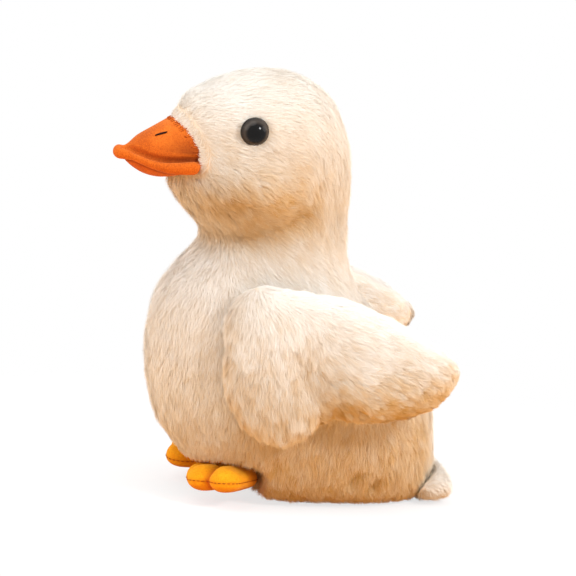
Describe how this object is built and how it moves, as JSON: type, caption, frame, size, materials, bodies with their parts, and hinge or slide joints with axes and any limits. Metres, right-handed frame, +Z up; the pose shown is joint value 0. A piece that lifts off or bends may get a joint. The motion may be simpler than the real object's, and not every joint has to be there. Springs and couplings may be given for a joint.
{
  "type": "plush duck",
  "caption": "Long-pile plush duck sitting upright, with a fleece beak and feet, snap-in eyes, soft wings that lift and a head that turns on its neck.",
  "frame": {"origin": "on the surface that the duck sits on, under the middle of its box", "axes": "+Z up, +X to the duck's left side, -Y forwards to its beak"},
  "size_m": [0.149, 0.1755, 0.213],
  "materials": {
    "cream_pile": "matt",
    "white_pile": "matt",
    "orange_fleece": "matt",
    "orange_fleece_shaded": "matt",
    "yellow_fleece": "matt",
    "yellow_fleece_shaded": "matt",
    "filling": "matt",
    "pellet_cloth": "matt",
    "eye_brown": "polished",
    "eye_clear": "polished, clear",
    "washer_white": "satin"
  },
  "bodies": {
    "body": {"body_skin": "cream_pile", "base_panel": "cream_pile", "body_stuffing": "filling", "weight_bag": "pellet_cloth"},
    "head": {"head_skin": "cream_pile", "head_stuffing": "filling", "beak_upper": "orange_fleece", "beak_lower": "orange_fleece_shaded", "beak_stuffing": "filling", "eye_left_stem": "eye_brown", "eye_left_dome": "eye_clear", "eye_left_washer": "washer_white", "eye_right_stem": "eye_brown", "eye_right_dome": "eye_clear", "eye_right_washer": "washer_white"},
    "wing_left": {"wing_left_skin": "white_pile", "wing_left_stuffing": "filling"},
    "wing_right": {"wing_right_skin": "white_pile", "wing_right_stuffing": "filling"},
    "tail": {"tail_skin": "cream_pile", "tail_stuffing": "filling"},
    "foot_left": {"foot_left_upper": "yellow_fleece", "foot_left_sole": "yellow_fleece_shaded", "foot_left_stuffing": "filling"},
    "foot_right": {"foot_right_upper": "yellow_fleece", "foot_right_sole": "yellow_fleece_shaded", "foot_right_stuffing": "filling"}
  },
  "joints": [
    {"name": "head_turn", "type": "hinge", "parent": "body", "child": "head", "pos_m": [0, -0.00495, 0.128], "axis": [0, 0, 1], "range_deg": [-20, 20], "stiffness_Nm_per_rad": 0.02},
    {"name": "wing_left_flap", "type": "hinge", "parent": "body", "child": "wing_left", "pos_m": [0.048, -0.00865, 0.104], "axis": [0, -0.9781, 0.2079], "range_deg": [0, 60]},
    {"name": "wing_right_flap", "type": "hinge", "parent": "body", "child": "wing_right", "pos_m": [-0.048, -0.00865, 0.104], "axis": [0, 0.9781, -0.2079], "range_deg": [0, 60]},
    {"name": "tail_lift", "type": "hinge", "parent": "body", "child": "tail", "pos_m": [0, 0.07835, 0.0155], "axis": [1, 0, 0], "range_deg": [0, 20], "stiffness_Nm_per_rad": 0.005},
    {"name": "foot_left_splay", "type": "hinge", "parent": "body", "child": "foot_left", "pos_m": [0.026, -0.01715, 0], "axis": [-0.1219, 0, 0.9925], "range_deg": [-8, 15], "stiffness_Nm_per_rad": 0.005},
    {"name": "foot_right_splay", "type": "hinge", "parent": "body", "child": "foot_right", "pos_m": [-0.026, -0.01715, 0], "axis": [-0.1219, 0, -0.9925], "range_deg": [-8, 15], "stiffness_Nm_per_rad": 0.005}
  ]
}
